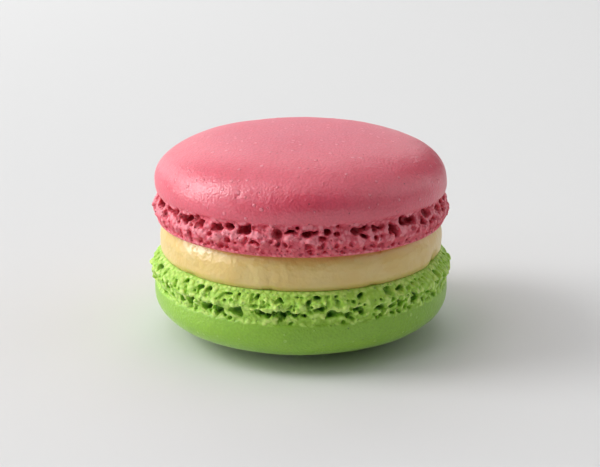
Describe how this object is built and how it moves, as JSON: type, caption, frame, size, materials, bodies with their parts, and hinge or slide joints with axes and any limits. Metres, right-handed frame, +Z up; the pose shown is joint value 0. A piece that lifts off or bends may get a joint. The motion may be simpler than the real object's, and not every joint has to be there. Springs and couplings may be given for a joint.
{
  "type": "french macaron",
  "caption": "Round meringue sandwich biscuit: a smooth rose shell and a pistachio shell, each on a ruffled foot, joined by a disc of pale yellow buttercream.",
  "frame": {"origin": "middle of the flat spot on the lower crown, on the surface that the macaron rests on", "axes": "+Z up, through both crowns and the filling; X and Y across the round"},
  "size_m": [0.042, 0.0419, 0.0278],
  "materials": {
    "rose_meringue": "baked meringue: satin skin over a matt, torn foot",
    "vanilla_buttercream": "soft butter gloss",
    "pistachio_meringue": "baked meringue: matt skin over a matt, torn foot"
  },
  "bodies": {
    "root": {"shell_top": "rose_meringue", "filling": "vanilla_buttercream", "shell_bottom": "pistachio_meringue"}
  },
  "joints": []
}
